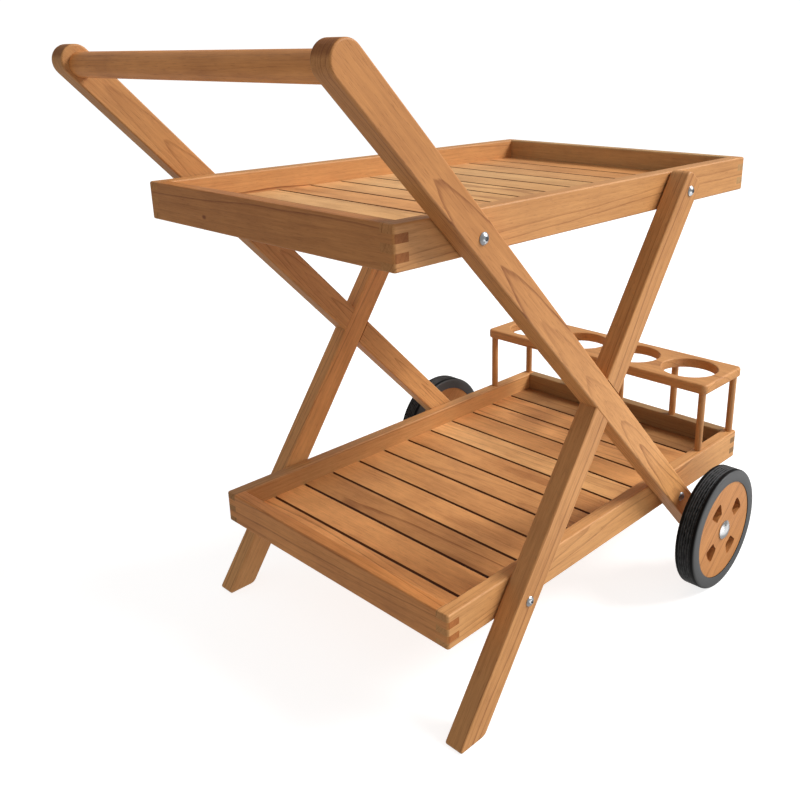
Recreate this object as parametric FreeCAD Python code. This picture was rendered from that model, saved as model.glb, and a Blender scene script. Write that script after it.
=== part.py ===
import FreeCAD, Part

import math
import os

# Teak serving trolley, in millimetres. +X runs from the handle end to the wheel end, +Y to the left of
# somebody pushing it, +Z up. The origin is on the floor, under the middle of the trolley.

Vector = FreeCAD.Vector

# Trays
tray_length = 733.0
tray_width = 470.0
rail_height = 49.0
rail_thickness = 20.0
rail_edge_radius = 2.5
tray_corner_radius = 4.0
fingers_per_corner = 5
slats_per_tray = 12
slat_gap = 4.0
slat_offset = 4.5
slat_thickness = 10.0
slat_drop = 30.5
slat_edge_radius = 1.0
slat_tongue_thickness = 6.0
slat_shoulder_gap = 0.2
groove_depth = 8.0
groove_play = 0.3

# Heights of the trays, and how far each starts from the crossing of the legs towards the handle end
top_tray_base = 610.0
lower_tray_base = 131.0
top_tray_lead = 342.0
lower_tray_lead = 275.5

# Crossed legs
crossing_height = 381.5
long_leg_angle = 46.0
short_leg_angle = 55.2
leg_width = 39.0
leg_thickness = 28.0
leg_edge_radius = 2.5
long_leg_overhang = 6.0
long_leg_tail = 16.0
short_leg_drop = 5.7
short_leg_end_radius = 10.0
toe_radius = 3.5
heel_radius = 12.0

# Handle bar
handle_height = 805.0
handle_diameter = 30.0
handle_tenon_diameter = 20.0
handle_tenon_length = 18.0
handle_shoulder_gap = 0.2

# Bottle rack
rack_height = 119.0
rack_thickness = 17.0
rack_corner_radius = 9.0
rack_edge_radius = 4.0
bottle_hole_diameter = 95.0
bottle_hole_rim_radius = 2.0
bottle_hole_web = 17.8
bottle_hole_margin = 16.5
post_diameter = 12.0
post_inset = 10.0
post_foot_depth = 12.0
post_top_depth = 10.0
post_play = 0.1

# Bolts that hold the legs to the trays
bolt_diameter = 8.0
bolt_head_diameter = 14.0
bolt_head_height = 4.4
bolt_head_rim = 0.8
bolt_socket_width = 5.0
bolt_socket_depth = 2.4
bolt_end_play = 1.0
bolt_hole_play = 0.2
leg_spacer_diameter = 20.0
leg_spacer_thickness = 2.0
insert_diameter = 11.0
insert_length = 12.0
thread_play = 0.05

# Stub axles and what they carry
axle_diameter = 12.0
axle_offset = 7.0
axle_insert_diameter = 16.0
axle_insert_length = 22.0
axle_hole_play = 0.1
sleeve_diameter = 18.0
axle_washer_diameter = 24.0
axle_washer_thickness = 1.6
hub_cap_diameter = 31.0
hub_cap_height = 6.5
hub_cap_rim = 1.0
hub_cap_lift = 0.5
hub_cap_hollow_diameter = 27.0
hub_cap_grip = 3.0
running_gap = 0.3
running_play = 0.05

# Wheels
wheel_radius = 98.0
wheel_standoff = 23.0
tyre_width = 32.0
tyre_depth = 19.0
tyre_shoulder_radius = 4.0
tread_shoulder_width = 6.0
tread_grooves = 5
tread_groove_width = 2.2
tread_groove_depth = 2.6
disc_thickness = 30.0
rim_tongue_height = 4.0
rim_tongue_width = 14.0
bush_diameter = 18.0
wheel_windows = 4
window_inner_share = 0.418
window_outer_share = 0.715
window_span_angle = 31.0
window_first_angle = 35.0
window_corner_radius = 4.0

# Largest difference between two places that count as the same
tolerance = 0.01

# The disc inside its tyre, and the windows at their shares of the disc's radius
disc_radius = wheel_radius - tyre_depth
window_inner_radius = disc_radius * window_inner_share
window_outer_radius = disc_radius * window_outer_share

# Side view of the legs
sides = {"left": 1, "right": -1}
half_leg = leg_width / 2
long_sin = math.sin(math.radians(long_leg_angle))
long_cos = math.cos(math.radians(long_leg_angle))
short_sin = math.sin(math.radians(short_leg_angle))
short_cos = math.cos(math.radians(short_leg_angle))
handle_reach = (handle_height - crossing_height) / long_sin
axle_reach = (crossing_height - wheel_radius - axle_offset * long_cos) / long_sin
short_leg_reach = (top_tray_base + rail_height - short_leg_drop - crossing_height) / short_sin

# Lengthways
handle_end = (handle_reach + long_leg_overhang) * long_cos + half_leg
wheel_end = tray_length - lower_tray_lead
crossing_x = (handle_end - wheel_end) / 2
handle_x = crossing_x - handle_reach * long_cos
axle_x = crossing_x + axle_reach * long_cos - axle_offset * long_sin
tray_bases = {"top_tray": top_tray_base, "lower_tray": lower_tray_base}
tray_starts = {"top_tray": crossing_x - top_tray_lead, "lower_tray": crossing_x - lower_tray_lead}

# Sideways, from the middle outwards
half_width = tray_width / 2
inner_half_width = half_width - rail_thickness
leg_inner_face = half_width + leg_spacer_thickness
leg_middle = leg_inner_face + leg_thickness / 2
leg_outer_face = leg_inner_face + leg_thickness
tyre_inner_face = leg_outer_face + wheel_standoff
wheel_middle = tyre_inner_face + tyre_width / 2
disc_inner_face = wheel_middle - disc_thickness / 2
disc_outer_face = wheel_middle + disc_thickness / 2
cap_washer_face = disc_outer_face + running_gap + axle_washer_thickness
axle_end = cap_washer_face + hub_cap_grip
axle_insert_end = leg_outer_face - axle_insert_length
axle_start = axle_insert_end + bolt_end_play
sleeve_end = disc_inner_face - running_gap - axle_washer_thickness

# Bottle rack on the lower tray's rails
lower_rail_top = lower_tray_base + rail_height
rack_top = lower_rail_top + rack_height
rack_base = rack_top - rack_thickness
rack_width = bottle_hole_diameter + 2 * bottle_hole_margin
rack_end = tray_starts["lower_tray"] + tray_length
rack_start = rack_end - rack_width
bottle_pitch = bottle_hole_diameter + bottle_hole_web
bottle_holes = int((tray_width - bottle_hole_web) / bottle_pitch)
bottle_places = [(i - (bottle_holes - 1) / 2) * bottle_pitch for i in range(bottle_holes)]
corner_post_y = half_width - rail_thickness / 2


def save(name, *shapes):
    shape = shapes[0] if len(shapes) == 1 else Part.makeCompound(list(shapes))
    shape.exportStep("parts/" + name + ".step")


def block(x0, x1, y0, y1, z0, z1):
    low = Vector(min(x0, x1), min(y0, y1), min(z0, z1))
    return Part.makeBox(abs(x1 - x0), abs(y1 - y0), abs(z1 - z0), low)


def rod(diameter, start, end):
    return Part.makeCylinder(diameter / 2, (end - start).Length, start, end - start)


def tube(outer_diameter, inner_diameter, start, end):
    return rod(outer_diameter, start, end).cut(rod(inner_diameter, start, end))


def same(value, target):
    return math.isclose(value, target, rel_tol=0, abs_tol=tolerance)


def edges_at(shape, axis, place):
    """The edges of a shape that lie in the plane across one axis, X, Y or Z, at a place along it."""
    found = []
    for edge in shape.Edges:
        box = edge.BoundBox
        if same(getattr(box, axis + "Min"), place) and same(getattr(box, axis + "Max"), place):
            found.append(edge)
    return found


def upright_edges(block_shape):
    return [edge for edge in block_shape.Edges if edge.BoundBox.ZLength > tolerance]


def level_edges(shape):
    """The edges round the top and the bottom of a shape."""
    return edges_at(shape, "Z", shape.BoundBox.ZMin) + edges_at(shape, "Z", shape.BoundBox.ZMax)


def rounded_outline(corners):
    """A closed wire through corners, each a point with the radius that rounds it."""
    runs = []
    for i, (corner, radius) in enumerate(corners):
        before = (corners[i - 1][0] - corner).normalize()
        after = (corners[(i + 1) % len(corners)][0] - corner).normalize()
        half_angle = before.getAngle(after) / 2
        reach = radius / math.tan(half_angle)
        centre = corner + (before + after).normalize() * (radius / math.sin(half_angle))
        crest = centre + (corner - centre).normalize() * radius
        runs.append((corner + before * reach, crest, corner + after * reach))
    edges = []
    for i, (start, crest, end) in enumerate(runs):
        edges.append(Part.Arc(start, crest, end).toShape())
        next_start = runs[(i + 1) % len(runs)][0]
        if (next_start - end).Length > tolerance:
            edges.append(Part.LineSegment(end, next_start).toShape())
    return Part.Wire(edges)


def domed_disc(diameter, height, rim, at, side):
    """A disc that stands out sideways from a point: a straight rim, then a crown of a sphere."""
    radius = diameter / 2
    crown = height - rim
    ball_radius = (radius**2 + crown**2) / (2 * crown)
    half_angle = math.asin(radius / ball_radius) / 2

    def place(out, along):
        return at + Vector(out, side * along, 0)

    ball_centre = height - ball_radius
    halfway = place(ball_radius * math.sin(half_angle), ball_centre + ball_radius * math.cos(half_angle))
    edges = [
        Part.makeLine(place(0, 0), place(radius, 0)),
        Part.makeLine(place(radius, 0), place(radius, rim)),
        Part.Arc(place(radius, rim), halfway, place(0, height)).toShape(),
        Part.makeLine(place(0, height), place(0, 0)),
    ]
    return Part.Face(Part.Wire(edges)).revolve(at, Vector(0, 1, 0), 360)


# Legs


def along_long_leg(along, across):
    """A point in the side view of a long leg: along runs up to the handle, across out of its upper edge."""
    x = crossing_x - along * long_cos + across * long_sin
    z = crossing_height + along * long_sin + across * long_cos
    return Vector(x, 0, z)


def along_short_leg(along, across):
    """A point in the side view of a short leg: along runs up to its top, across out of its upper edge."""
    x = crossing_x + along * short_cos - across * short_sin
    z = crossing_height + along * short_sin + across * short_cos
    return Vector(x, 0, z)


def leg_blank(corners, side):
    """A leg's outline, given the thickness of a leg, with all its edges eased."""
    face = Part.Face(rounded_outline(corners))
    face.translate(Vector(0, side * leg_inner_face, 0))
    leg = face.extrude(Vector(0, side * leg_thickness, 0))
    eased = edges_at(leg, "Y", side * leg_inner_face) + edges_at(leg, "Y", side * leg_outer_face)
    return leg.makeFillet(leg_edge_radius, eased)


def crossing_notch(point_on_leg, side, face_y):
    """The place of the other leg at the crossing, from the middle of the thickness to one face."""
    corners = [(leg_width, half_leg), (-leg_width, half_leg), (-leg_width, -half_leg), (leg_width, -half_leg)]
    face = Part.Face(Part.makePolygon([point_on_leg(*corner) for corner in corners + corners[:1]]))
    face.translate(Vector(0, side * leg_middle, 0))
    return face.extrude(Vector(0, side * (face_y - leg_middle), 0))


def bolt_places():
    """The x and z of the bolts of one side, where each leg's middle line meets the middle of each rail."""
    places = []
    for base in tray_bases.values():
        rise = base + rail_height / 2 - crossing_height
        places.append((crossing_x - rise * long_cos / long_sin, crossing_height + rise))
        places.append((crossing_x + rise * short_cos / short_sin, crossing_height + rise))
    return places


def leg_holes(side):
    """The holes in the legs of one side: for the bolts right through, for axle and handle blind."""
    inner = side * leg_inner_face
    outer = side * leg_outer_face
    holes = []
    for x, z in bolt_places():
        holes.append(rod(bolt_diameter + 2 * bolt_hole_play, Vector(x, inner, z), Vector(x, outer, z)))
    holes.append(rod(axle_insert_diameter, on_axle(side * axle_insert_end), on_axle(outer)))
    holes.append(rod(handle_tenon_diameter, on_handle(inner), on_handle(inner + side * handle_tenon_length)))
    return Part.makeCompound(holes)


def make_long_leg(name, side):
    """Round at both ends, and notched on its inner face at the crossing."""
    top = handle_reach + long_leg_overhang + half_leg
    bottom = -(axle_reach + long_leg_tail + half_leg)
    places = [(bottom, -half_leg), (bottom, half_leg), (top, half_leg), (top, -half_leg)]
    leg = leg_blank([(along_long_leg(*place), half_leg) for place in places], side)
    leg = leg.cut(crossing_notch(along_short_leg, side, leg_inner_face))
    save(name + "_long_leg", leg.cut(leg_holes(side)))


def make_short_leg(name, side):
    """Square at the top, cut level at the foot, and notched on its outer face at the crossing."""
    toe = -(crossing_height + half_leg * short_cos) / short_sin
    heel = -(crossing_height - half_leg * short_cos) / short_sin
    corners = [
        (along_short_leg(toe, half_leg), toe_radius),
        (along_short_leg(short_leg_reach, half_leg), short_leg_end_radius),
        (along_short_leg(short_leg_reach, -half_leg), short_leg_end_radius),
        (along_short_leg(heel, -half_leg), heel_radius),
    ]
    leg = leg_blank(corners, side)
    leg = leg.cut(crossing_notch(along_long_leg, side, leg_outer_face))
    save(name + "_short_leg", leg.cut(leg_holes(side)))


def on_handle(y):
    return Vector(handle_x, y, handle_height)


def make_handle_bar():
    """A dowel between the long legs, turned down to a tenon at each end."""
    shoulder = leg_inner_face - handle_shoulder_gap
    tenon = leg_inner_face + handle_tenon_length
    bar = rod(handle_diameter, on_handle(-shoulder), on_handle(shoulder))
    tenons = rod(handle_tenon_diameter, on_handle(-tenon), on_handle(tenon))
    save("handle_bar", bar.fuse(tenons))


# Trays


def tray_ring(start, base):
    """The four rails of a tray as one ring, with eased edges and the groove that houses the slats."""
    end = start + tray_length
    top = base + rail_height
    ring = block(start, end, -half_width, half_width, base, top)
    ring = ring.makeFillet(tray_corner_radius, upright_edges(ring))
    ring = ring.makeFillet(rail_edge_radius, level_edges(ring))
    x0 = start + rail_thickness
    x1 = end - rail_thickness
    opening = block(x0, x1, -inner_half_width, inner_half_width, base, top)
    ring = ring.cut(opening)
    rim = [edge for edge in edges_at(ring, "Z", top) if opening.BoundBox.isInside(edge.BoundBox)]
    ring = ring.makeFillet(rail_edge_radius, rim)
    groove_y = inner_half_width + groove_depth
    low = top - slat_drop - slat_thickness
    high = low + slat_tongue_thickness
    return ring.cut(block(x0 - groove_depth, x1 + groove_depth, -groove_y, groove_y, low, high))


def finger_places(start, base, first):
    """The room of every second finger at a tray's four corners, counted down from the one called first."""
    finger = rail_height / fingers_per_corner
    places = []
    for i in range(first, fingers_per_corner, 2):
        z = base + rail_height - i * finger
        for x in (start, start + tray_length - rail_thickness):
            for y in (-half_width, inner_half_width):
                places.append(block(x, x + rail_thickness, y, y + rail_thickness, z - finger, z))
    return Part.makeCompound(places)


def insert_places():
    """The room of the threaded inserts, let into the side rails from outside."""
    places = []
    for side in sides.values():
        for x, z in bolt_places():
            start = Vector(x, side * half_width, z)
            places.append(rod(insert_diameter, start, start - Vector(0, side * insert_length, 0)))
    return Part.makeCompound(places)


def make_tray_frame(tray):
    """Four rails that meet in finger joints, where the side rails have the outermost fingers."""
    start = tray_starts[tray]
    base = tray_bases[tray]
    end = start + tray_length
    top = base + rail_height
    ring = tray_ring(start, base).cut(insert_places()).cut(post_sockets())
    side_fingers = finger_places(start, base, 0)
    end_fingers = finger_places(start, base, 1)
    for name, side in sides.items():
        zone = block(start, end, side * half_width, side * inner_half_width, base, top)
        save(tray + "_" + name + "_rail", ring.common(zone.cut(end_fingers)))
    for name, x in (("handle_end", start), ("wheel_end", end - rail_thickness)):
        zone = block(x, x + rail_thickness, -half_width, half_width, base, top)
        save(tray + "_" + name + "_rail", ring.common(zone.cut(side_fingers)))


def make_slats(tray):
    """Slats across a tray, with tongues in the groove at their ends, and beside the first and the last.

    The first slat is narrower than the rest, and the last one wider.
    """
    reach = groove_depth - groove_play
    top = tray_bases[tray] + rail_height - slat_drop
    low = top - slat_thickness
    y = inner_half_width - slat_shoulder_gap
    tongue_y = inner_half_width + reach
    tongue_top = low + slat_tongue_thickness
    room = tray_length - 2 * (rail_thickness + slat_shoulder_gap)
    width = (room - (slats_per_tray - 1) * slat_gap) / slats_per_tray
    first = tray_starts[tray] + rail_thickness + slat_shoulder_gap
    starts = [first + i * (width + slat_gap) - slat_offset for i in range(slats_per_tray)]
    starts[0] = first
    ends = [start - slat_gap for start in starts[1:]] + [first + room]
    for i, (x0, x1) in enumerate(zip(starts, ends)):
        slat = block(x0, x1, -y, y, low, top)
        arrises = [edge for edge in edges_at(slat, "Z", top) if edge.BoundBox.YLength > y]
        slat = slat.makeFillet(slat_edge_radius, arrises)
        if i == 0:
            x0 = x0 - slat_shoulder_gap - reach
        if i == slats_per_tray - 1:
            x1 = x1 + slat_shoulder_gap + reach
        tongue = block(x0, x1, -tongue_y, tongue_y, low, tongue_top)
        save("%s_slat_%02d" % (tray, i + 1), slat.fuse(tongue).removeSplitter())


# Bottle rack


def rack_posts():
    """Name, x and y of each post: two in front on the side rails, the others along the wheel-end rail."""
    front_x = rack_start + post_inset
    posts = [("rack_post_front_" + name, front_x, side * corner_post_y) for name, side in sides.items()]
    between_holes = [(a + b) / 2 for a, b in zip(bottle_places, bottle_places[1:])]
    for i, y in enumerate([-corner_post_y] + between_holes + [corner_post_y]):
        posts.append(("rack_post_back_%d" % (i + 1), rack_end - post_inset, y))
    return posts


def post_sockets():
    """The room of the posts, let into the rails below and into the underside of the board above."""
    foot = lower_rail_top - post_foot_depth
    top = rack_base + post_top_depth
    width = post_diameter + 2 * post_play
    return Part.makeCompound([rod(width, Vector(x, y, foot), Vector(x, y, top)) for _, x, y in rack_posts()])


def make_rack():
    """A board with a row of bottle holes, flush with the wheel end of the lower tray, and its posts."""
    board = block(rack_start, rack_end, -half_width, half_width, rack_base, rack_top)
    board = board.makeFillet(rack_corner_radius, upright_edges(board))
    board = board.makeFillet(rack_edge_radius, level_edges(board))
    x = (rack_start + rack_end) / 2
    for y in bottle_places:
        board = board.cut(rod(bottle_hole_diameter, Vector(x, y, rack_base), Vector(x, y, rack_top)))
    board = board.makeFillet(bottle_hole_rim_radius, [edge for edge in level_edges(board) if edge.isClosed()])
    save("bottle_rack_board", board.cut(post_sockets()))
    for name, x, y in rack_posts():
        foot = Vector(x, y, lower_rail_top - post_foot_depth)
        save(name, rod(post_diameter, foot, Vector(x, y, rack_base + post_top_depth)))


# Fasteners of the legs


def leg_bolt(x, z, side):
    """A button-head bolt with a hexagon socket, through leg and spacer into the rail's insert."""
    head_foot = Vector(x, side * leg_outer_face, z)
    head_top = head_foot + Vector(0, side * bolt_head_height, 0)
    shank_end = Vector(x, side * (half_width - insert_length + bolt_end_play), z)
    head = domed_disc(bolt_head_diameter, bolt_head_height, bolt_head_rim, head_foot, side)
    hexagon = []
    for i in range(7):
        angle = i * math.pi / 3
        corner = Vector(math.cos(angle), 0, math.sin(angle)) * (bolt_socket_width / 2 / math.cos(math.pi / 6))
        hexagon.append(head_top + corner)
    socket = Part.Face(Part.makePolygon(hexagon)).extrude(Vector(0, -side * bolt_socket_depth, 0))
    return head.cut(socket).fuse(rod(bolt_diameter, shank_end, head_foot))


def make_leg_fasteners():
    """The bolts, the spacer washers between leg and rail, and the threaded inserts, as three groups."""
    bolts, spacers, inserts = [], [], []
    for side in sides.values():
        for x, z in bolt_places():
            rail_face = Vector(x, side * half_width, z)
            leg_face = Vector(x, side * leg_inner_face, z)
            insert_end = Vector(x, side * (half_width - insert_length), z)
            bolts.append(leg_bolt(x, z, side))
            spacers.append(tube(leg_spacer_diameter, bolt_diameter + 2 * bolt_hole_play, rail_face, leg_face))
            inserts.append(tube(insert_diameter, bolt_diameter + 2 * thread_play, rail_face, insert_end))
    save("leg_bolts", *bolts)
    save("leg_spacer_washers", *spacers)
    save("threaded_inserts", *inserts)


# Stub axles


def on_axle(y):
    return Vector(axle_x, y, wheel_radius)


def make_hub_cap(name, side):
    """A domed cap, hollow over the outer washer and pressed on the end of its axle."""
    rim = side * (disc_outer_face + hub_cap_lift)
    washer_face = side * cap_washer_face
    cap = domed_disc(hub_cap_diameter, hub_cap_height, hub_cap_rim, on_axle(rim), side)
    cap = cap.cut(rod(hub_cap_hollow_diameter, on_axle(rim), on_axle(washer_face)))
    save(name + "_hub_cap", cap.cut(rod(axle_diameter, on_axle(washer_face), on_axle(side * axle_end))))


def make_axles():
    """A stub axle in an insert of each long leg, with a sleeve, two washers and a cap at its wheel."""
    bore = axle_diameter + 2 * axle_hole_play
    thread = axle_diameter + 2 * thread_play
    axles, inserts, sleeves, washers = [], [], [], []
    for name, side in sides.items():
        leg_face = on_axle(side * leg_outer_face)
        axles.append(rod(axle_diameter, on_axle(side * axle_start), on_axle(side * axle_end)))
        inserts.append(tube(axle_insert_diameter, thread, on_axle(side * axle_insert_end), leg_face))
        sleeves.append(tube(sleeve_diameter, bore, leg_face, on_axle(side * sleeve_end)))
        for face in (sleeve_end, cap_washer_face - axle_washer_thickness):
            end = face + axle_washer_thickness
            washers.append(tube(axle_washer_diameter, bore, on_axle(side * face), on_axle(side * end)))
        make_hub_cap(name, side)
    save("stub_axles", *axles)
    save("axle_inserts", *inserts)
    save("axle_sleeves", *sleeves)
    save("axle_washers", *washers)


# Wheels


def turned(points, side):
    """A ring turned round the axle from points of (radius, distance from the middle of the wheel)."""
    outline = [on_axle(side * (wheel_middle + out)) + Vector(0, 0, radius) for radius, out in points]
    return Part.Face(Part.makePolygon(outline + outline[:1])).revolve(on_axle(0), Vector(0, 1, 0), 360)


def make_tyre(name, side):
    """A solid rubber tyre with grooves round its tread and a channel for the disc's tongue."""
    edge = tyre_width / 2
    tongue = rim_tongue_width / 2
    floor = disc_radius + rim_tongue_height
    points = [(disc_radius, tongue), (floor, tongue), (floor, -tongue), (disc_radius, -tongue)]
    points += [(disc_radius, -edge), (wheel_radius, -edge)]
    pitch = (tyre_width - 2 * tread_shoulder_width) / tread_grooves
    half_groove = tread_groove_width / 2
    groove_floor = wheel_radius - tread_groove_depth
    for i in range(tread_grooves):
        middle = (i - (tread_grooves - 1) / 2) * pitch
        points += [(wheel_radius, middle - half_groove), (groove_floor, middle - half_groove / 2)]
        points += [(groove_floor, middle + half_groove / 2), (wheel_radius, middle + half_groove)]
    points += [(wheel_radius, edge), (disc_radius, edge)]
    tyre = turned(points, side)
    rims = edges_at(tyre, "Y", side * (wheel_middle - edge))
    rims += edges_at(tyre, "Y", side * (wheel_middle + edge))
    shoulders = [rim for rim in rims if rim.BoundBox.ZLength > 2 * wheel_radius - tolerance]
    save(name + "_tyre", tyre.makeFillet(tyre_shoulder_radius, shoulders))


def wheel_window(angle, side):
    """One opening of the disc: a sector of a ring with rounded corners."""

    def at(radius, turn):
        return on_axle(side * disc_inner_face) + Vector(radius * math.cos(turn), 0, radius * math.sin(turn))

    low = math.radians(angle - window_span_angle / 2)
    middle = math.radians(angle)
    high = math.radians(angle + window_span_angle / 2)
    outer = [at(window_outer_radius, turn) for turn in (low, middle, high)]
    inner = [at(window_inner_radius, turn) for turn in (high, middle, low)]
    edges = [Part.Arc(*outer).toShape(), Part.Arc(*inner).toShape()]
    edges += [Part.makeLine(outer[2], inner[0]), Part.makeLine(inner[2], outer[0])]
    opening = Part.Face(Part.Wire(Part.__sortEdges__(edges))).extrude(Vector(0, side * disc_thickness, 0))
    across = [edge for edge in opening.Edges if edge.BoundBox.YLength > disc_thickness / 2]
    return opening.makeFillet(window_corner_radius, across)


def make_wheel_disc(name, side):
    """A wooden disc with a tongue round its rim, a bore for the bush and a ring of windows."""
    edge = disc_thickness / 2
    tongue = rim_tongue_width / 2
    tip = disc_radius + rim_tongue_height
    bore = bush_diameter / 2
    points = [(bore, -edge), (disc_radius, -edge), (disc_radius, -tongue), (tip, -tongue)]
    points += [(tip, tongue), (disc_radius, tongue), (disc_radius, edge), (bore, edge)]
    disc = turned(points, side)
    for i in range(wheel_windows):
        disc = disc.cut(wheel_window(window_first_angle + i * 360 / wheel_windows, side))
    save(name + "_wheel_disc", disc)


def make_wheel(name, side):
    make_tyre(name, side)
    make_wheel_disc(name, side)
    bore = axle_diameter + 2 * running_play
    bush = tube(bush_diameter, bore, on_axle(side * disc_inner_face), on_axle(side * disc_outer_face))
    save(name + "_hub_bush", bush)


os.makedirs("parts", exist_ok=True)
make_handle_bar()
for side_name, side_sign in sides.items():
    make_long_leg(side_name, side_sign)
    make_short_leg(side_name, side_sign)
    make_wheel(side_name, side_sign)
for tray_name in tray_bases:
    make_tray_frame(tray_name)
    make_slats(tray_name)
make_rack()
make_leg_fasteners()
make_axles()
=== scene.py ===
"""Looks of a teak serving trolley: its woods, rubber and metals, a pale studio, soft lights and a camera."""

import math

import bpy
from mathutils import Matrix, Vector


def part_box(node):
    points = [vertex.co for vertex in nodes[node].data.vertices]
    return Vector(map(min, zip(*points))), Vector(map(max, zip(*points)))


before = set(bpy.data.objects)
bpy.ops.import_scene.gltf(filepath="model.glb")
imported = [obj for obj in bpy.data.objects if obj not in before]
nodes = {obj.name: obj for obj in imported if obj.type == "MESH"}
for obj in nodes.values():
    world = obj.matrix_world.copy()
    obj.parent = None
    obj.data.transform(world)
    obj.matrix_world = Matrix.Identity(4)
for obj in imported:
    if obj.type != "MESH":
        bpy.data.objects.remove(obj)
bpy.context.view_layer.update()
scene = bpy.context.scene

X = Vector((1, 0, 0))
Y = Vector((0, 1, 0))
Z = Vector((0, 0, 1))


# Node helpers


def plug(tree, socket, value):
    """Links an output to a socket, or sets the socket. None leaves it alone."""
    if isinstance(value, bpy.types.NodeSocket):
        tree.links.new(value, socket)
    elif value is not None:
        socket.default_value = value


def add(tree, kind, *values, **settings):
    """A shader node with its settings and its first inputs filled in."""
    made = tree.nodes.new("ShaderNode" + kind)
    for name, value in settings.items():
        setattr(made, name, value)
    for socket, value in zip(made.inputs, values):
        plug(tree, socket, value)
    return made


def calc(tree, operation, *values):
    return add(tree, "Math", *values, operation=operation).outputs[0]


def vector_calc(tree, operation, *values):
    made = add(tree, "VectorMath", *values, operation=operation)
    return made.outputs["Value" if operation in ("DOT_PRODUCT", "LENGTH") else "Vector"]


def scaled(tree, vector, factor):
    made = add(tree, "VectorMath", vector, operation="SCALE")
    plug(tree, made.inputs["Scale"], factor)
    return made.outputs["Vector"]


def ramp(tree, value, low, high, start=0.0, end=1.0):
    """value from low to high, eased, onto start to end."""
    made = add(tree, "MapRange", value, low, high, start, end, interpolation_type="SMOOTHSTEP")
    return made.outputs["Result"]


def noise(tree, vector, scale, detail=2.0, roughness=0.5):
    """Noise about zero, from about -0.5 to 0.5, with its own scale along each axis."""
    made = add(tree, "TexNoise")
    plug(tree, made.inputs["Vector"], vector_calc(tree, "MULTIPLY", vector, scale))
    made.inputs["Scale"].default_value = 1.0
    made.inputs["Detail"].default_value = detail
    made.inputs["Roughness"].default_value = roughness
    return calc(tree, "SUBTRACT", made.outputs[0], 0.5)


def blend_colour(tree, factor, first, second, kind="MIX"):
    made = tree.nodes.new("ShaderNodeMix")
    made.data_type = "RGBA"
    made.blend_type = kind
    plug(tree, made.inputs["Factor"], factor)
    colours = [socket for socket in made.inputs if socket.type == "RGBA"]
    plug(tree, colours[0], first)
    plug(tree, colours[1], second)
    return [socket for socket in made.outputs if socket.type == "RGBA"][0]


def tinted(tree, colour, tint):
    return blend_colour(tree, 1.0, colour, tint, "MULTIPLY")


def new_material(name):
    material = bpy.data.materials.new(name)
    material.use_nodes = True
    tree = material.node_tree
    return material, tree, tree.nodes["Principled BSDF"]


def emboss(tree, shader, height, strength, distance):
    """Gives a shader bump from a height."""
    bump = tree.nodes.new("ShaderNodeBump")
    bump.inputs["Strength"].default_value = strength
    bump.inputs["Distance"].default_value = distance
    tree.links.new(height, bump.inputs["Height"])
    tree.links.new(bump.outputs["Normal"], shader.inputs["Normal"])


def wear(name, material):
    """Puts a material on a CAD node."""
    piece = nodes[name]
    piece.data.materials.clear()
    piece.data.materials.append(material)


# Teak

LIGHT_TEAK = (0.70, 0.341, 0.121)
DARK_TEAK = (0.28, 0.096, 0.026)
# Painted shade: a tint that darkens the slats' sides, standing in for the shade in the gaps between them
GAP_SHADE_TINT = (0.22, 0.16, 0.12, 1)

# Noises in the wood: waves per metre along the grain, across it and through it, then detail and roughness
SWAY = (2.2, 9, 9), 1.0
WOBBLE = (7, 60, 60), 2.0
STREAK = (10, 280, 280), 4.0, 0.7
BAND = (2.5, 45, 45), 2.0
CLOUD = (11, 22, 22), 3.0, 0.6
FIBRE = (45, 1000, 1000), 2.0, 0.6
PORE = (70, 1100, 1100), 1.0

# Growth rings: where in a ring's width the late wood starts, is darkest and stops, how dark the early wood
# gets, how much rings differ, and how many metres they wobble
LATE_START, LATE_FULL, LATE_STOP = 0.7, 0.94, 0.95
EARLY_DEPTH = 0.16
RING_CONTRAST = 2.2
WOBBLE_WIDTH = 0.003

# A knot is longer along the grain. Over the distance from it, in knot sizes, two ramps say how far it pushes
# the rings aside and how dark it makes the wood
KNOT_SHAPE = (0.6, 1, 0)
KNOT_PUSH = 0.5, 4.0, 0.6, 0.0
KNOT_DARK = 0.3, 1.3, 0.8, 0.0

# Ramps from none to all: for pores over their noise, for end grain and for the painted gap shade over how
# square the faces are
PORE_EDGE = 0.1, 0.22
END_TURN = 0.75, 0.95
GAP_SHADE_TURN = 0.3, 0.8

# The tone without marks, the roughness, and the height of each mark
BASE_TONE = 0.2
BASE_ROUGH, STREAK_ROUGH, END_ROUGH = 0.52, 0.25, 0.18
FIBRE_HEIGHT, PORE_HEIGHT, LINE_HEIGHT = 0.5, -0.9, -0.5

# How far one seed is from the next in the wood, and the place along a board where its painted light along the
# grain is full
SEED_STEP = (1.7, 3.1, 0.9)
PAINTED_LIGHT_REACH = 0.3


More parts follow.
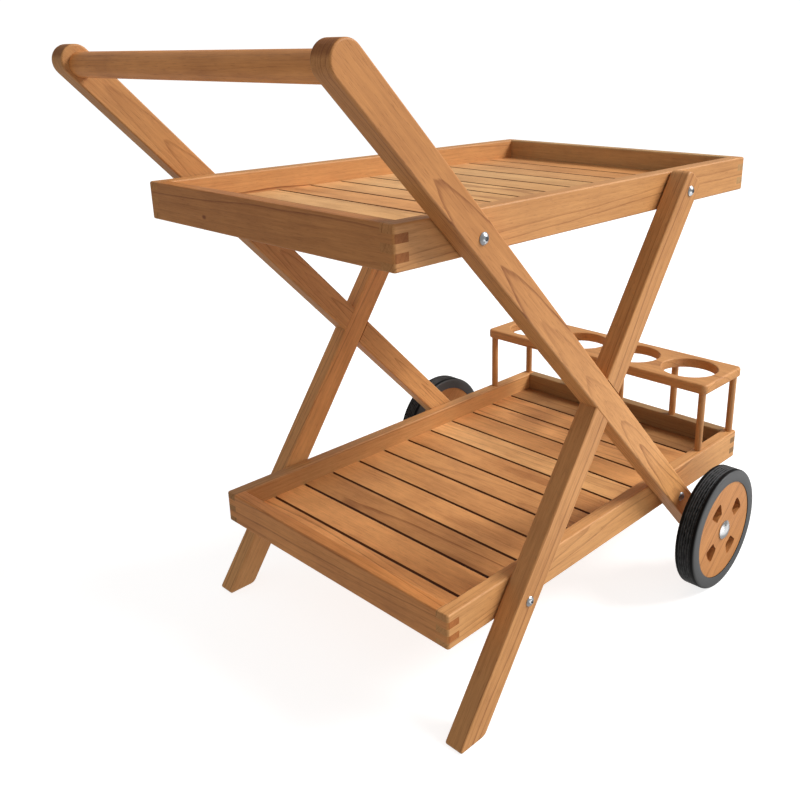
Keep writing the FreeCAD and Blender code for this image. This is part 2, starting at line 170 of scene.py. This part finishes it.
def ring_lines(tree, given, local, spot, knot):
    """How dark the growth rings are at a place in the wood. They bend round a knot."""
    sway = calc(tree, "MULTIPLY", noise(tree, spot, *SWAY), given["Sway"])
    wobble = calc(tree, "MULTIPLY", noise(tree, spot, *WOBBLE), WOBBLE_WIDTH)
    along = add(tree, "SeparateXYZ", local).outputs["X"]
    lean = add(tree, "CombineXYZ", None, None, calc(tree, "MULTIPLY", along, given["Lean"])).outputs[0]
    pith = vector_calc(tree, "ADD", given["Pith"], lean)
    from_pith = vector_calc(tree, "MULTIPLY", vector_calc(tree, "ADD", local, pith), (0, 1, 1))
    radius = calc(tree, "ADD", vector_calc(tree, "LENGTH", from_pith), calc(tree, "ADD", sway, wobble))
    push = calc(tree, "MULTIPLY", ramp(tree, knot, *KNOT_PUSH), given["Knot Size"])
    rings = calc(tree, "DIVIDE", calc(tree, "ADD", radius, push), given["Ring"])
    part = calc(tree, "FRACT", rings)

    rank = add(tree, "TexWhiteNoise", noise_dimensions="1D")
    plug(tree, rank.inputs["W"], calc(tree, "ADD", calc(tree, "FLOOR", rings), given["Seed"]))
    strength = rank.outputs["Value"]
    darkening = ramp(tree, part, LATE_START, LATE_FULL)
    late = calc(tree, "MULTIPLY", darkening, ramp(tree, part, LATE_STOP, 1.0, 1.0, 0.0))
    early = calc(tree, "MULTIPLY", ramp(tree, part, 0.0, LATE_STOP, 0.0, EARLY_DEPTH), strength)
    return calc(tree, "MULTIPLY_ADD", late, calc(tree, "POWER", strength, RING_CONTRAST), early)


def teak_group():
    """Solid teak: rings round a pith, fibres, pores, clouds and one knot, the same inside and out."""
    tree = bpy.data.node_groups.new("teak", "ShaderNodeTree")
    for name, kind in (
        ("Along", "Vector"),
        ("Across", "Vector"),
        ("Depth", "Vector"),
        ("Middle", "Vector"),
        ("Pith", "Vector"),
        ("Knot", "Vector"),
        ("Knot Size", "Float"),
        ("Seed", "Float"),
        ("Ring", "Float"),
        ("Sway", "Float"),
        ("Lean", "Float"),
        ("Lines", "Float"),
        ("Cloud", "Float"),
        ("Light", "Color"),
        ("Dark", "Color"),
        ("End", "Color"),
        ("Gap Shade", "Vector"),
        ("Painted Light Ramp", "Vector"),
    ):
        tree.interface.new_socket(name=name, in_out="INPUT", socket_type="NodeSocket" + kind)
    for name, kind in (("Colour", "Color"), ("Roughness", "Float"), ("Height", "Float")):
        tree.interface.new_socket(name=name, in_out="OUTPUT", socket_type="NodeSocket" + kind)
    given = tree.nodes.new("NodeGroupInput").outputs
    place = add(tree, "TexCoord")

    # The place in the board's own directions, and in a trunk that the seed picks
    from_middle = vector_calc(tree, "SUBTRACT", place.outputs["Object"], given["Middle"])
    along = vector_calc(tree, "DOT_PRODUCT", from_middle, given["Along"])
    across = vector_calc(tree, "DOT_PRODUCT", from_middle, given["Across"])
    depth = vector_calc(tree, "DOT_PRODUCT", from_middle, given["Depth"])
    local = add(tree, "CombineXYZ", along, across, depth).outputs[0]
    spot = vector_calc(tree, "ADD", local, scaled(tree, SEED_STEP, given["Seed"]))

    # The distance from the knot, in knot sizes
    from_knot = vector_calc(tree, "SUBTRACT", local, given["Knot"])
    from_knot = vector_calc(tree, "MULTIPLY", from_knot, KNOT_SHAPE)
    knot = calc(tree, "DIVIDE", vector_calc(tree, "LENGTH", from_knot), given["Knot Size"])

    line = ring_lines(tree, given, local, spot, knot)
    streak = noise(tree, spot, *STREAK)
    band = noise(tree, spot, *BAND)
    cloud = noise(tree, spot, *CLOUD)
    fibre = noise(tree, spot, *FIBRE)
    pore = ramp(tree, noise(tree, spot, *PORE), *PORE_EDGE)

    # From light to dark wood by all the marks together
    tone = calc(tree, "MULTIPLY", line, given["Lines"])
    for mark, strength in ((streak, 0.8), (band, 0.25), (cloud, given["Cloud"]), (fibre, 0.34), (pore, 0.26)):
        tone = calc(tree, "MULTIPLY_ADD", mark, strength, tone)
    tone = calc(tree, "ADD", tone, ramp(tree, knot, *KNOT_DARK))
    tone = calc(tree, "ADD", tone, BASE_TONE)
    tone.node.use_clamp = True
    colour = blend_colour(tree, tone, given["Light"], given["Dark"])
    # Painted light: the colour grows or falls along the grain, standing in for sheen and shade along the
    # piece
    painted_light_ramp = scaled(tree, given["Painted Light Ramp"], ramp(tree, along, -PAINTED_LIGHT_REACH, PAINTED_LIGHT_REACH, -1.0, 1.0))
    colour = vector_calc(tree, "MULTIPLY", colour, vector_calc(tree, "ADD", painted_light_ramp, (1, 1, 1)))

    # End grain across the fibres, and painted shade on faces that look into the gaps between slats
    facing = vector_calc(tree, "DOT_PRODUCT", place.outputs["Normal"], given["Along"])
    end_grain = ramp(tree, calc(tree, "ABSOLUTE", facing), *END_TURN)
    colour = blend_colour(tree, end_grain, colour, tinted(tree, colour, given["End"]))
    facing = vector_calc(tree, "DOT_PRODUCT", place.outputs["Normal"], given["Gap Shade"])
    gap_shade = ramp(tree, calc(tree, "ABSOLUTE", facing), *GAP_SHADE_TURN)
    colour = blend_colour(tree, gap_shade, colour, tinted(tree, colour, GAP_SHADE_TINT))

    rough = calc(tree, "MULTIPLY_ADD", streak, STREAK_ROUGH, BASE_ROUGH)
    rough = calc(tree, "MULTIPLY_ADD", end_grain, END_ROUGH, rough)
    height = calc(tree, "MULTIPLY_ADD", fibre, FIBRE_HEIGHT, calc(tree, "MULTIPLY", pore, PORE_HEIGHT))
    height = calc(tree, "MULTIPLY_ADD", line, LINE_HEIGHT, height)

    out = tree.nodes.new("NodeGroupOutput")
    plug(tree, out.inputs["Colour"], colour)
    plug(tree, out.inputs["Roughness"], rough)
    plug(tree, out.inputs["Height"], height)
    return tree


TEAK = teak_group()
NO_KNOT = (9, 9, 9)


def wood_colour(base, tone, warmth):
    """A colour made brighter by tone, and redder and less blue by warmth."""
    return [*(part * tone * share for part, share in zip(base, (1 + warmth, 1.0, 1 - warmth))), 1]


def teak(
    name,
    along,
    depth,
    seed,
    pith=(0.0, 0.05),
    ring=0.0055,
    sway=0.022,
    lean=0.015,
    lines=0.75,
    cloud=0.5,
    tone=1.0,
    warmth=0.0,
    end=(0.62, 0.52, 0.44),
    gap_shade=(0, 0, 0),
    painted_light_ramp=(0, 0, 0),
    knot=NO_KNOT,
    knot_size=0.001,
):
    """A teak piece's own material.

    along is the direction of its grain, and depth the direction from its middle to the pith, which pith
    places across and in depth. ring is a growth ring's width, and lean how much the pith slants. drift is
    painted light: how much red, green and blue grow from the middle towards the far end of the grain, in
    place of sheen and shade along the piece. sawn is the normal of faces darkened as painted shade, the
    slats' sides in the gaps between them, and end the tint of end grain. A knot is far away unless it is
    given.
    """
    low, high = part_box(name)
    material, tree, shader = new_material("teak_" + name)
    group = tree.nodes.new("ShaderNodeGroup")
    group.node_tree = TEAK
    along = along.normalized()
    depth = (depth - along * depth.dot(along)).normalized()
    given = {
        "Along": along,
        "Across": along.cross(depth),
        "Depth": depth,
        "Middle": (low + high) / 2,
        "Pith": (0.0, *pith),
        "Knot": knot,
        "Knot Size": knot_size,
        "Seed": seed,
        "Ring": ring,
        "Sway": sway,
        "Lean": lean,
        "Lines": lines,
        "Cloud": cloud,
        "Light": wood_colour(LIGHT_TEAK, tone, warmth),
        "Dark": wood_colour(DARK_TEAK, tone, warmth),
        "End": [*end, 1],
        "Gap Shade": gap_shade,
        "Painted Light Ramp": painted_light_ramp,
    }
    for socket, value in given.items():
        group.inputs[socket].default_value = value
    tree.links.new(group.outputs["Colour"], shader.inputs["Base Color"])
    tree.links.new(group.outputs["Roughness"], shader.inputs["Roughness"])
    shader.inputs["Specular IOR Level"].default_value = 0.35
    emboss(tree, shader, group.outputs["Height"], strength=0.25, distance=0.0004)
    wear(name, material)


def rising(angle, way):
    """A direction that rises by an angle in degrees, towards +X if way is 1 and towards -X if it is -1."""
    return Vector((way * math.cos(math.radians(angle)), 0, math.sin(math.radians(angle))))


# Legs and handle

LONG_LEG = rising(46, -1)
SHORT_LEG = rising(55.2, 1)
# FLAME's colour ramp is painted light: the long legs darker towards the top and paler lower down, in place of
# shade and sheen
FLAME = {
    "pith": (0.004, 0.03),
    "ring": 0.0034,
    "sway": 0.014,
    "lean": 0.034,
    "painted_light_ramp": (-0.12, -0.17, -0.22),
}
QUIET = {"pith": (0.03, 0.05), "ring": 0.007, "sway": 0.03, "lines": 0.5}
teak("right_long_leg", LONG_LEG, -Y, 2.9, lines=0.75, tone=0.97, warmth=0.04, **FLAME)
teak("left_long_leg", LONG_LEG, Y, 3.9, lines=0.45, tone=1.05, warmth=-0.04, **FLAME)
teak("right_short_leg", SHORT_LEG, X * 0.4 - Y, 4.6, tone=0.94, warmth=0.02, **QUIET)
# Painted shade: this leg gets lighter upwards and darker at the foot, in place of the shade under the lower
# tray
teak("left_short_leg", SHORT_LEG, X * 0.4 + Y, 5.6, tone=1.26, warmth=-0.04, painted_light_ramp=(0.1, 0.1, 0.1), **QUIET)
DOWEL = {"pith": (0.01, 0.03), "sway": 0.012, "lines": 0.25, "cloud": 0.9}
teak("handle_bar", Y, X + Z, 7.7, tone=0.97, warmth=0.17, **DOWEL)

# Rails

FAINT_END = (0.88, 0.84, 0.80)
SIDE_RAIL = {"pith": (0.03, 0.06), "ring": 0.0045, "sway": 0.02, "lines": 0.8, "end": FAINT_END}
END_RAIL = {"pith": (0.04, 0.06), "ring": 0.006, "sway": 0.02, "lines": 0.4, "cloud": 0.8}
KNOT = {"knot": (0.107, -0.008, 0), "knot_size": 0.003}
teak("top_tray_right_rail", X, -Y, 11.2, tone=0.98, **SIDE_RAIL)
teak("lower_tray_right_rail", X, -Y, 12.2, tone=1.12, warmth=-0.04, **SIDE_RAIL)
teak("top_tray_left_rail", X, Y, 13.9, tone=0.97, **SIDE_RAIL)
# Painted shade: this rail darkens towards the handle end, in place of the shade that falls on it there
teak("lower_tray_left_rail", X, Y, 14.9, tone=0.97, warmth=-0.05, painted_light_ramp=(0.2, 0.2, 0.2), **SIDE_RAIL)
# Painted shade: the darker tone of this rail stands in for the shade on its end face
teak("top_tray_handle_end_rail", Y, -X, 17.4, tone=0.74, warmth=0.16, **END_RAIL, **KNOT)
teak("lower_tray_handle_end_rail", Y, -X, 18.4, tone=0.96, warmth=0.16, **END_RAIL)
teak("top_tray_wheel_end_rail", Y, X, 21.8, tone=1.06, warmth=-0.17, end=FAINT_END, **END_RAIL)
teak("lower_tray_wheel_end_rail", Y, X, 22.8, tone=0.7, warmth=-0.17, end=FAINT_END, **END_RAIL)

# Slats: tone and warmth of each, from the handle end to the wheel end. Besides plank-to-plank tone these
# hold painted light: the lower slats are lighter in place of the light the top tray keeps off them, the
# third and last lower slats darker as painted shadows of a leg and of the rack, the first two top slats
# darker as painted shade by the handle-end rail, and the paler, bluer slats paler as painted sheen.

TOP_SLATS = (
    (0.95, -0.01), (0.97, 0.02), (1.36, -0.12), (1.12, 0.04), (1.24, -0.05), (1.4, -0.12),
    (1.35, -0.12), (1.13, -0.08), (1.24, -0.12), (1.13, -0.05), (0.93, 0.05), (1.0, 0.06),
)
LOWER_SLATS = (
    (1.34, 0.0), (1.28, 0.01), (0.87, 0.03), (1.12, 0.0), (1.06, 0.0), (1.04, -0.01),
    (0.98, 0.02), (1.46, -0.12), (1.26, 0.0), (1.42, -0.04), (1.2, 0.0), (0.57, 0.0),
)
# Painted light on each slat: paler and bluer towards its left end as painted sheen, darker towards its right
# end as painted shade
for tray, slats, first_seed, painted_sheen_and_shade in (
    ("top_tray", TOP_SLATS, 70.1, (0.02, 0.08, 0.2)),
    ("lower_tray", LOWER_SLATS, 30.1, (0.09, 0.11, 0.14)),
):
    for i, (tone, warmth) in enumerate(slats):
        tilt = 0.35 if i % 3 else -0.5
        teak(
            "%s_slat_%02d" % (tray, i + 1),
            Y,
            Z + X * tilt,
            first_seed + 2.37 * i,
            pith=(0.012 * (i % 4 - 1.5), 0.03 + 0.012 * (i % 3)),
            ring=0.008 + 0.001 * (i % 4),
            sway=0.035,
            lines=0.5,
            # The strong cloud on the slats is partly wood figure and partly painted soft shadow patches
            cloud=1.1,
            tone=tone,
            warmth=warmth,
            painted_light_ramp=painted_sheen_and_shade,
            # Painted shade on the slats' sides, in the gaps between them
            gap_shade=X,
        )

# Bottle rack and wheel discs

teak("bottle_rack_board", Y, Z, 90.4, pith=(0.02, 0.06), ring=0.009, sway=0.04, lines=0.5, end=(1, 1, 1))
for i, post in enumerate(sorted(name for name in nodes if name.startswith("rack_post"))):
    teak(post, Z, X + Y, 101.2 + i, pith=(0.01, 0.03), ring=0.005, sway=0.008, lines=0.4, tone=0.88)
DISC = {"pith": (0.0, 0.05), "ring": 0.014, "sway": 0.05, "lines": 0.3, "tone": 0.8, "warmth": 0.12}
teak("right_wheel_disc", X + Z * 0.9, Y, 120.5, **DISC)
teak("left_wheel_disc", X + Z * 0.9, Y, 121.5, **DISC)


# Rubber, metals and nylon

# Places on a tyre: metres from the axle for the grooves' edge, the ribs and the middle of the wall's bulge,
# and metres from the tread's middle for where the ribs give way to the shoulders
GROOVE_EDGE, RIB_TOP, WALL_MIDDLE = 0.0965, 0.0979, 0.0875
RIBS_END = 0.0095, 0.0105
WALL_CURVATURE = 14.0
GRIT_HEIGHT = 0.00004

TREAD_BLACKS = (0.001, 0.001, 0.001, 1), (0.004, 0.004, 0.0045, 1)
# Painted glint: a grey put on the ribs' crests in broken lines, in place of highlights on them
RIB_GLINT_GREY = (0.075, 0.075, 0.076, 1)
# The walls are greyer than the tread partly as moulded rubber and partly as painted light, lit walls against
# a shaded tread
WALL_GREYS = (0.062, 0.063, 0.065, 1), (0.1, 0.101, 0.103, 1)
RIB_GLOSS, WALL_GLOSS = 0.12, 0.3


def tyre_rubber(name):
    """Black rubber: dull grey walls with a slight bulge, black shoulders and grooves, and painted glints on
    the ribs. The walls are greyer than the tread partly as moulded rubber and partly as painted light on the
    lit walls.
    """
    low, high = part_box(name)
    material, tree, shader = new_material("rubber_" + name)
    place = add(tree, "TexCoord")
    from_middle = vector_calc(tree, "SUBTRACT", place.outputs["Object"], (low + high) / 2)
    radius = vector_calc(tree, "LENGTH", vector_calc(tree, "MULTIPLY", from_middle, (1, 0, 1)))
    off_middle = calc(tree, "ABSOLUTE", add(tree, "SeparateXYZ", from_middle).outputs["Y"])
    facing = vector_calc(tree, "DOT_PRODUCT", place.outputs["Normal"], (0, 1, 0))

    flank = ramp(tree, calc(tree, "ABSOLUTE", facing), 0.35, 0.95)
    crest = ramp(tree, radius, GROOVE_EDGE, RIB_TOP)
    rib = calc(tree, "MULTIPLY", crest, ramp(tree, off_middle, *RIBS_END, 1.0, 0.0))

    grit = noise(tree, place.outputs["Object"], (900, 900, 900), 3.0, 0.6)
    cloud = noise(tree, place.outputs["Object"], (22, 22, 22), 2.0)
    # Breaks along the crests where the painted glint shows
    glint_breaks = ramp(tree, noise(tree, place.outputs["Object"], (150, 150, 150), 2.0, 0.7), -0.2, 0.2)
    mottle = calc(tree, "MULTIPLY_ADD", grit, 0.3, calc(tree, "MULTIPLY", cloud, 0.5))
    mottle = calc(tree, "ADD", mottle, 0.5)
    mottle.node.use_clamp = True

    tread = blend_colour(tree, mottle, *TREAD_BLACKS)
    # Painted glint on the ribs' crests
    tread = blend_colour(tree, calc(tree, "MULTIPLY", rib, glint_breaks), tread, RIB_GLINT_GREY)
    wall = blend_colour(tree, mottle, *WALL_GREYS)
    rib_gloss = calc(tree, "MULTIPLY", crest, RIB_GLOSS)
    wall_gloss = calc(tree, "MULTIPLY", flank, WALL_GLOSS)
    tree.links.new(blend_colour(tree, flank, tread, wall), shader.inputs["Base Color"])
    tree.links.new(calc(tree, "MULTIPLY_ADD", grit, 0.3, 0.5), shader.inputs["Roughness"])
    tree.links.new(calc(tree, "MAXIMUM", rib_gloss, wall_gloss), shader.inputs["Specular IOR Level"])

    off_bulge = calc(tree, "SUBTRACT", radius, WALL_MIDDLE)
    bulge = calc(tree, "MULTIPLY", calc(tree, "MULTIPLY", off_bulge, off_bulge), -WALL_CURVATURE)
    surface = calc(tree, "MULTIPLY_ADD", grit, GRIT_HEIGHT, bulge)
    emboss(tree, shader, surface, strength=1.0, distance=1.0)
    return material


def metal(name, colour, roughness, grain, strength):
    """A plated or turned metal with faint stains and fine marks, grain to the metre."""
    material, tree, shader = new_material(name)
    place = add(tree, "TexCoord").outputs["Object"]
    marks = noise(tree, place, (grain, grain, grain), 3.0, 0.6)
    stain = noise(tree, place, (60, 60, 60), 2.0)
    duller = [part * 0.78 for part in colour]
    shade = calc(tree, "MULTIPLY_ADD", marks, 0.5, calc(tree, "ADD", stain, 0.5))
    shade.node.use_clamp = True
    tree.links.new(blend_colour(tree, shade, (*duller, 1), (*colour, 1)), shader.inputs["Base Color"])
    tree.links.new(calc(tree, "MULTIPLY_ADD", marks, 0.25, roughness), shader.inputs["Roughness"])
    shader.inputs["Metallic"].default_value = 1.0
    emboss(tree, shader, marks, strength, distance=0.0002)
    return material


def turned_steel():
    """Bright steel with the fan of light that fine turning marks give."""
    material = metal("bright_steel", (0.66, 0.67, 0.68), roughness=0.24, grain=500, strength=0.1)
    tree = material.node_tree
    shader = tree.nodes["Principled BSDF"]
    shader.inputs["Anisotropic"].default_value = 0.8
    marks = add(tree, "Tangent", direction_type="RADIAL", axis="Y")
    tree.links.new(marks.outputs["Tangent"], shader.inputs["Tangent"])
    return material


def nylon():
    """Slightly uneven natural nylon."""
    material, tree, shader = new_material("nylon")
    place = add(tree, "TexCoord").outputs["Object"]
    cloud = noise(tree, place, (120, 120, 120), 2.0)
    shade = calc(tree, "ADD", cloud, 0.5)
    colour = blend_colour(tree, shade, (0.72, 0.70, 0.64, 1), (0.84, 0.82, 0.76, 1))
    tree.links.new(colour, shader.inputs["Base Color"])
    tree.links.new(calc(tree, "MULTIPLY_ADD", cloud, 0.2, 0.45), shader.inputs["Roughness"])
    return material


BRIGHT = turned_steel()
ZINC = metal("zinc_plated_steel", (0.56, 0.58, 0.61), roughness=0.3, grain=700, strength=0.2)
BRASS = metal("brass", (0.75, 0.55, 0.25), roughness=0.3, grain=700, strength=0.2)
NYLON = nylon()
for side in ("right", "left"):
    wear(side + "_tyre", tyre_rubber(side + "_tyre"))
    wear(side + "_hub_cap", BRIGHT)
    wear(side + "_hub_bush", NYLON)
for name in ("leg_bolts", "leg_spacer_washers", "stub_axles", "axle_sleeves", "axle_washers"):
    wear(name, ZINC)
for name in ("threaded_inserts", "axle_inserts"):
    wear(name, BRASS)


# Studio


def studio_floor():
    """A pale round floor that curves up into a wall all round."""
    flat, bend, top, turns, steps = 9.0, 3.0, 9.0, 96, 12
    profile = [(radius, 0.0) for radius in (0.0, 0.5, 2.0, flat)]
    for i in range(1, steps + 1):
        angle = i / steps * math.pi / 2
        profile.append((flat + bend * math.sin(angle), bend * (1 - math.cos(angle))))
    profile.append((flat + bend, top))
    points, faces = [], []
    for radius, height in profile:
        for i in range(turns):
            angle = 2 * math.pi * i / turns
            points.append((radius * math.cos(angle), radius * math.sin(angle), height))
    for ring in range(len(profile) - 1):
        for i in range(turns):
            j = (i + 1) % turns
            a, b = ring * turns, (ring + 1) * turns
            faces.append((a + i, a + j, b + j, b + i))
    mesh = bpy.data.meshes.new("studio_floor")
    mesh.from_pydata(points, [], faces)
    for face in mesh.polygons:
        face.use_smooth = True
    floor = bpy.data.objects.new("studio_floor", mesh)
    scene.collection.objects.link(floor)
    material, _, shader = new_material("studio_floor")
    shader.inputs["Base Color"].default_value = (0.5, 0.5, 0.5, 1)
    shader.inputs["Roughness"].default_value = 1.0
    shader.inputs["Specular IOR Level"].default_value = 0.0
    shader.inputs["Emission Color"].default_value = (1, 1, 1, 1)
    shader.inputs["Emission Strength"].default_value = 0.8
    mesh.materials.append(material)
    floor.visible_diffuse = False
    floor.visible_glossy = False
    floor.visible_shadow = False


def soft_light(name, place, target, size, power):
    """A rectangle of light that the camera doesn't see, in metres and watts."""
    data = bpy.data.lights.new(name, "AREA")
    data.shape = "RECTANGLE"
    data.size, data.size_y = size
    data.energy = power
    lamp = bpy.data.objects.new(name, data)
    lamp.location = place
    lamp.rotation_mode = "QUATERNION"
    lamp.rotation_quaternion = (Vector(target) - Vector(place)).to_track_quat("-Z", "Y")
    lamp.visible_camera = False
    scene.collection.objects.link(lamp)
    return lamp


def surroundings(above, level, below):
    """Light from all round in three colours: from above, from the sides and from below."""
    world = bpy.data.worlds.new("studio")
    world.use_nodes = True
    tree = world.node_tree
    direction = add(tree, "TexCoord").outputs["Generated"]
    height = add(tree, "SeparateXYZ", direction).outputs["Z"]
    low_half = blend_colour(tree, ramp(tree, height, -0.9, -0.1), (*below, 1), (*level, 1))
    colour = blend_colour(tree, ramp(tree, height, 0.0, 0.8), low_half, (*above, 1))
    tree.links.new(colour, tree.nodes["Background"].inputs["Color"])
    scene.world = world


studio_floor()
surroundings(above=(0.42, 0.42, 0.42), level=(0.36, 0.35, 0.33), below=(0.54, 0.53, 0.52))
soft_light("key", place=(3.8, -3.6, 4.5), target=(0, 0, 0.4), size=(2.6, 2.6), power=442)
soft_light("front_fill", place=(0.1, -1.6, 0.1), target=(0, 0, 0.2), size=(1.2, 0.6), power=3.5)

# Stands in for the bright floor beside the trolley, and lights gloss only
beside = (1.0, -1.1, 0.02)
bright_floor = soft_light("bright_floor", beside, target=(1.0, -1.1, 1.0), size=(1.8, 1.4), power=7.0)
bright_floor.visible_diffuse = False


# Camera


def photo_camera():
    """The photograph's place, direction and lens. Its middle is off the frame's middle, as in a crop."""
    place = (-0.92285, -0.85805, 0.81715)
    yaw, pitch, roll = (math.radians(angle) for angle in (43.32, -18.77, -0.52))
    focal, middle, frame_width = 881.2, (460.0, 350.0), 800.0
    look = Vector((math.cos(yaw) * math.cos(pitch), math.sin(yaw) * math.cos(pitch), math.sin(pitch)))
    level = Vector((math.sin(yaw), -math.cos(yaw), 0))
    upright = level.cross(look)
    right = level * math.cos(roll) + upright * math.sin(roll)
    up = upright * math.cos(roll) - level * math.sin(roll)
    data = bpy.data.cameras.new("photo_camera")
    data.sensor_fit = "HORIZONTAL"
    data.sensor_width = 36.0
    data.lens = focal / frame_width * data.sensor_width
    data.shift_x = (frame_width / 2 - middle[0]) / frame_width
    data.shift_y = (middle[1] - frame_width / 2) / frame_width
    data.clip_start, data.clip_end = 0.05, 60.0
    camera = bpy.data.objects.new("photo_camera", data)
    camera.rotation_mode = "QUATERNION"
    camera.rotation_quaternion = Matrix((right, up, -look)).transposed().to_quaternion()
    camera.location = place
    scene.collection.objects.link(camera)
    scene.camera = camera


photo_camera()
scene.view_settings.view_transform = "Standard"
